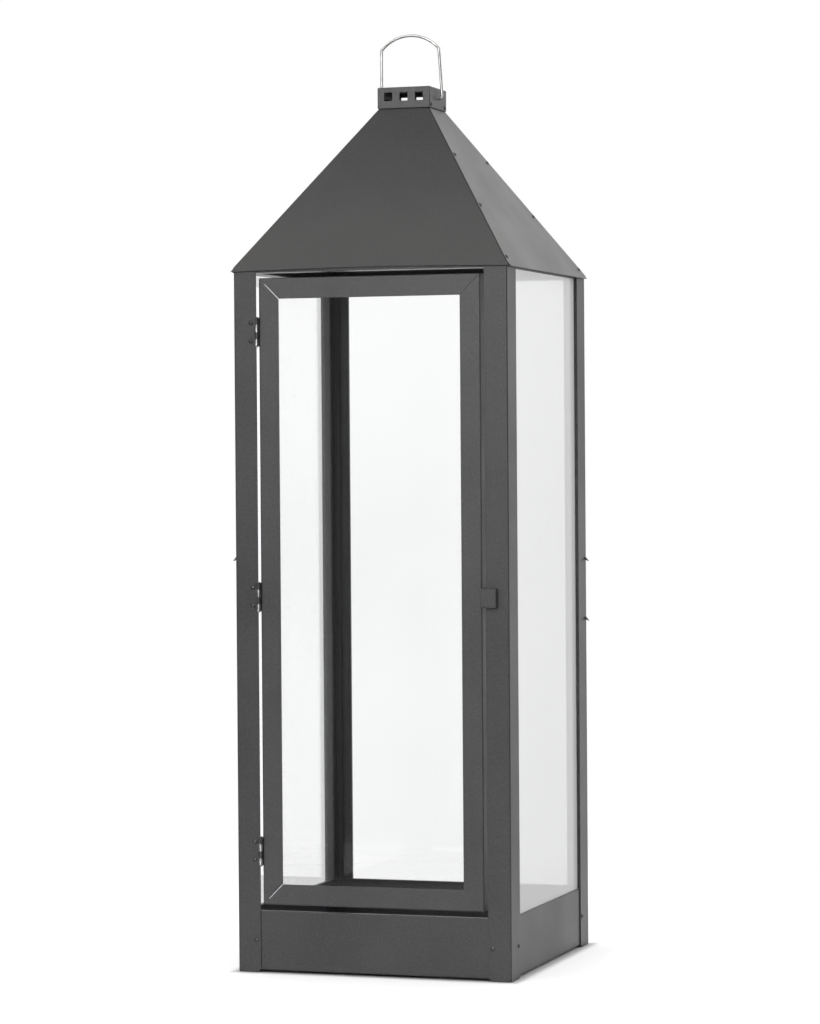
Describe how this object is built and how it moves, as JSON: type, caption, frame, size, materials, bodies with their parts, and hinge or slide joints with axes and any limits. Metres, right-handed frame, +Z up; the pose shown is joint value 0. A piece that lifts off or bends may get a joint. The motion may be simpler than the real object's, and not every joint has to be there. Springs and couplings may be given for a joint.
{
  "type": "lantern floor lamp",
  "caption": "Tall square candle lantern of folded sheet steel: glass on every side, hinged glazed door, pyramid roof, vented square cap and a swinging wire bail.",
  "frame": {"origin": "on the floor, under the centre of the square plan of the four posts", "axes": "+Z up, -Y out through the hinged door, +X towards the door's pull tab"},
  "size_m": [0.308, 0.311, 0.9968],
  "materials": {
    "powder_coat": "satin",
    "bare_steel": "drawn",
    "magnet": "matt",
    "clear_glass": "clear float"
  },
  "bodies": {
    "lantern": {"post_front_left": "powder_coat", "post_front_right": "powder_coat", "post_rear_left": "powder_coat", "post_rear_right": "powder_coat", "plinth_front": "powder_coat", "plinth_right": "powder_coat", "plinth_rear": "powder_coat", "plinth_left": "powder_coat", "header_front": "powder_coat", "header_right": "powder_coat", "header_rear": "powder_coat", "header_left": "powder_coat", "floor_plate": "powder_coat", "roof_front": "powder_coat", "roof_rear": "powder_coat", "roof_left": "powder_coat", "roof_right": "powder_coat", "vent_cap": "powder_coat", "pane_right": "clear_glass", "pane_left": "clear_glass", "pane_rear": "clear_glass", "glazing_angle_rear_right": "powder_coat", "glazing_angle_rear_left": "powder_coat", "glazing_angle_front_right": "powder_coat", "glazing_angle_front_left": "powder_coat", "hinge_fixed_leaf_low": "powder_coat", "hinge_fixed_leaf_middle": "powder_coat", "hinge_fixed_leaf_top": "powder_coat", "hinge_pins": "bare_steel", "catch_bracket": "powder_coat", "catch_magnet": "magnet", "rivets_plinth": "powder_coat", "rivets_hips": "powder_coat", "rivets_cap": "powder_coat", "rivets_fixed_leaves": "powder_coat", "rivets_catch": "powder_coat"},
    "door": {"door_pane": "clear_glass", "door_rail_bottom": "powder_coat", "door_rail_top": "powder_coat", "door_stile_hinge_side": "powder_coat", "door_stile_latch_side": "powder_coat", "door_bead_hinge_side": "powder_coat", "door_bead_latch_side": "powder_coat", "door_bead_bottom": "powder_coat", "door_bead_top": "powder_coat", "door_corner_brackets": "powder_coat", "pull_tab": "powder_coat", "catch_keeper": "bare_steel", "hinge_door_leaf_low": "powder_coat", "hinge_door_leaf_middle": "powder_coat", "hinge_door_leaf_top": "powder_coat", "rivets_door_leaves": "powder_coat", "rivet_pull_tab": "powder_coat"},
    "bail": {"bail": "bare_steel"}
  },
  "joints": [
    {"name": "door_hinge", "type": "hinge", "parent": "lantern", "child": "door", "pos_m": [-0.1235, -0.1523, 0.3955], "axis": [0, 0, -1], "range_deg": [0, 170]},
    {"name": "bail_swing", "type": "hinge", "parent": "lantern", "child": "bail", "pos_m": [0, 0, 0.9263], "axis": [1, 0, 0], "range_deg": [-112, 112]}
  ]
}
